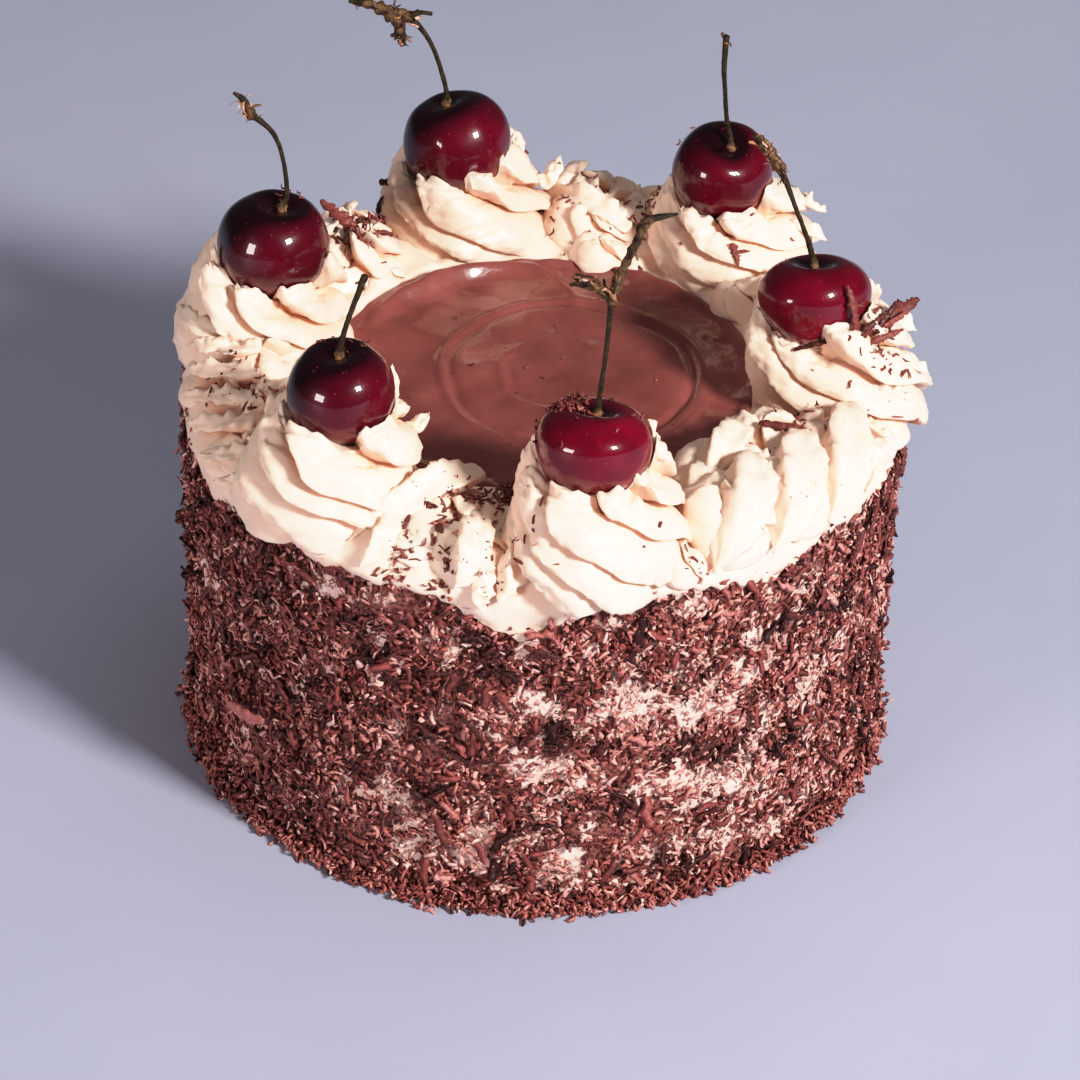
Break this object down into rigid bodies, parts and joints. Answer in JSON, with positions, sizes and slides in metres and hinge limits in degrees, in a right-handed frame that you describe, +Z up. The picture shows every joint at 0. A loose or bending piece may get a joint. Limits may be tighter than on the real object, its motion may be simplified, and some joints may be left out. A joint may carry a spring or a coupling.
{
  "type": "black forest cake",
  "caption": "Round uncut cake coated in chocolate shavings, with a ganache centre, piped cream swirls round the edge and a stemmed cherry on each of the large ones.",
  "frame": {"origin": "centre of the cake's flat underside", "axes": "+Z up along the cake's axis, -Y towards the front, +X to the right of someone who faces the front"},
  "size_m": [0.161, 0.1616, 0.1637],
  "materials": {
    "chocolate_shavings": "fine matt chocolate shavings pressed into whipped cream that shows between them",
    "ganache": "set ganache with a satin gloss and the marks of a palette knife",
    "whipped_cream": "piped whipped cream, soft and slightly moist",
    "cherry_skin": "wet, glossy dark red cherry skin",
    "cherry_stem": "dry woody stem, green-brown with a pale end",
    "chocolate_flake": "broken dark chocolate flake with a waxy break"
  },
  "bodies": {
    "root": {"cake_body": "chocolate_shavings", "ganache_top": "ganache", "rosette_left": "whipped_cream", "rosette_back": "whipped_cream", "rosette_back_right": "whipped_cream", "rosette_right": "whipped_cream", "rosette_front": "whipped_cream", "rosette_front_left": "whipped_cream", "filler_left_back": "whipped_cream", "filler_back": "whipped_cream", "filler_right_back": "whipped_cream", "filler_front_right": "whipped_cream", "filler_front_left": "whipped_cream", "filler_left_front": "whipped_cream", "cherry_left": "cherry_skin", "cherry_back": "cherry_skin", "cherry_back_right": "cherry_skin", "cherry_right": "cherry_skin", "cherry_front": "cherry_skin", "cherry_front_left": "cherry_skin", "stem_left": "cherry_stem", "stem_back": "cherry_stem", "stem_back_right": "cherry_stem", "stem_right": "cherry_stem", "stem_front": "cherry_stem", "stem_front_left": "cherry_stem", "flake_back": "chocolate_flake", "flake_curl": "chocolate_flake", "flake_rim": "chocolate_flake", "flake_front": "chocolate_flake"}
  },
  "joints": []
}
